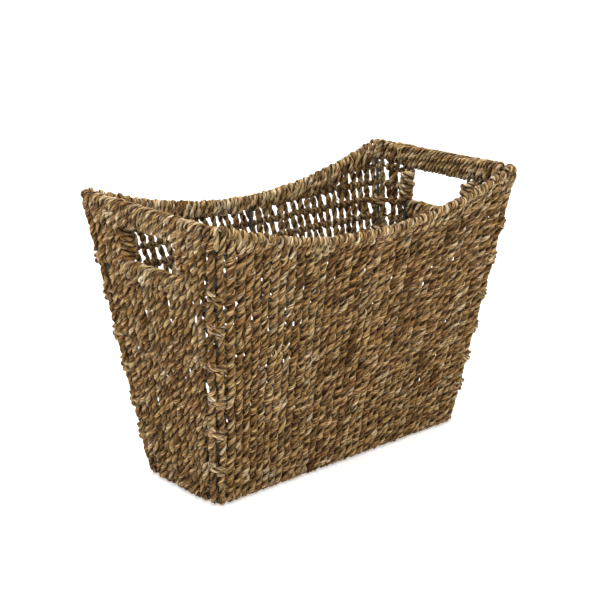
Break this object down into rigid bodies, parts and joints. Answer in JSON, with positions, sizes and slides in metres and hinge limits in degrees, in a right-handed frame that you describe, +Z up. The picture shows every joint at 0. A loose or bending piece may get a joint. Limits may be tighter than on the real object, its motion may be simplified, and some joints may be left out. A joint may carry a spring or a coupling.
{
  "type": "seagrass storage basket",
  "caption": "Tapered woven seagrass basket on a steel wire frame, with a rim that dips like a saddle along the long sides and a hand slot in each end.",
  "frame": {"origin": "on the floor under the basket's centre", "axes": "+X along the long side, +Y across the basket, +Z up"},
  "size_m": [0.4552, 0.2422, 0.3252],
  "materials": {
    "seagrass_weave": "two-ply twisted seagrass cord, dry and matt",
    "seagrass_winding": "two-ply twisted seagrass cord wound tightly",
    "frame_steel": "dark green-black satin paint on steel wire"
  },
  "bodies": {
    "root": {"back_weave": "seagrass_weave", "base_rod_back": "frame_steel", "base_rod_front": "frame_steel", "base_rod_middle": "frame_steel", "base_weave": "seagrass_weave", "base_wire": "frame_steel", "corner_lashing_back_left": "seagrass_winding", "corner_lashing_back_right": "seagrass_winding", "corner_lashing_front_left": "seagrass_winding", "corner_lashing_front_right": "seagrass_winding", "corner_post_back_left": "frame_steel", "corner_post_back_right": "frame_steel", "corner_post_front_left": "frame_steel", "corner_post_front_right": "frame_steel", "front_weave": "seagrass_weave", "handle_post_back_left": "frame_steel", "handle_post_back_right": "frame_steel", "handle_post_front_left": "frame_steel", "handle_post_front_right": "frame_steel", "handle_wire_left": "frame_steel", "handle_wire_right": "frame_steel", "handle_wrap_left": "seagrass_winding", "handle_wrap_right": "seagrass_winding", "hoop_01": "frame_steel", "hoop_02": "frame_steel", "hoop_03": "frame_steel", "hoop_04": "frame_steel", "hoop_05": "frame_steel", "hoop_06": "frame_steel", "hoop_07": "frame_steel", "hoop_08": "frame_steel", "hoop_09": "frame_steel", "hoop_10": "frame_steel", "hoop_11": "frame_steel", "hoop_12": "frame_steel", "hoop_13": "frame_steel", "hoop_14": "frame_steel", "left_end_weave": "seagrass_weave", "middle_post_back": "frame_steel", "middle_post_front": "frame_steel", "right_end_weave": "seagrass_weave", "rim_binding_back": "seagrass_winding", "rim_binding_front": "seagrass_winding", "rim_wire": "frame_steel", "slot_binding_back_left": "seagrass_winding", "slot_binding_back_right": "seagrass_winding", "slot_binding_front_left": "seagrass_winding", "slot_binding_front_right": "seagrass_winding"}
  },
  "joints": []
}
